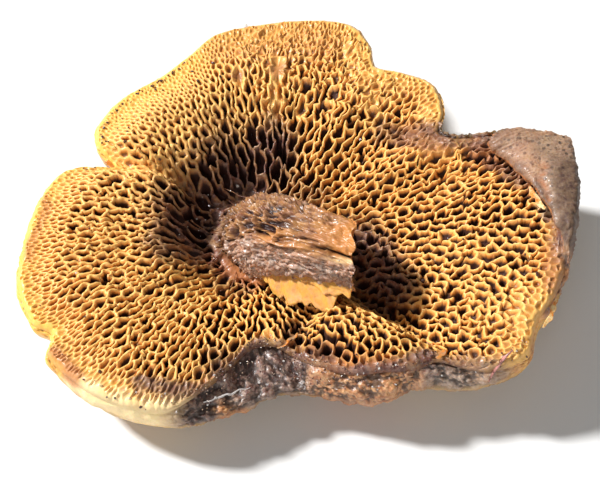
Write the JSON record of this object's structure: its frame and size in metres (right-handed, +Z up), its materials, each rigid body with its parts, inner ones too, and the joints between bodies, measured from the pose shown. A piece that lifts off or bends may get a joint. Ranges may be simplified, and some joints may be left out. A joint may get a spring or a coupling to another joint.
{
  "type": "chicken fat suillus mushroom",
  "caption": "Picked yellow bolete lying on its cap with the pores up: lobed dished cap, folded margin, net of angular radial pores and a torn leaning stem stub.",
  "frame": {"origin": "centre of the object's box on the ground, under the cap that it lies on", "axes": "+Z up out of the pores, +X towards the lobe whose margin is folded over, +Y away from the skin-edged near side"},
  "size_m": [0.0792, 0.0656, 0.0195],
  "materials": {
    "cap_skin": "moist skin, yellow to dirty brown, with small dark scales",
    "pores": "thin moist tube walls, golden ochre, dark in the pores",
    "stem_flesh": "moist dotted skin over fibrous orange-tan flesh"
  },
  "bodies": {
    "root": {"cap": "cap_skin", "pore_layer": "pores", "stem": "stem_flesh"}
  },
  "joints": []
}
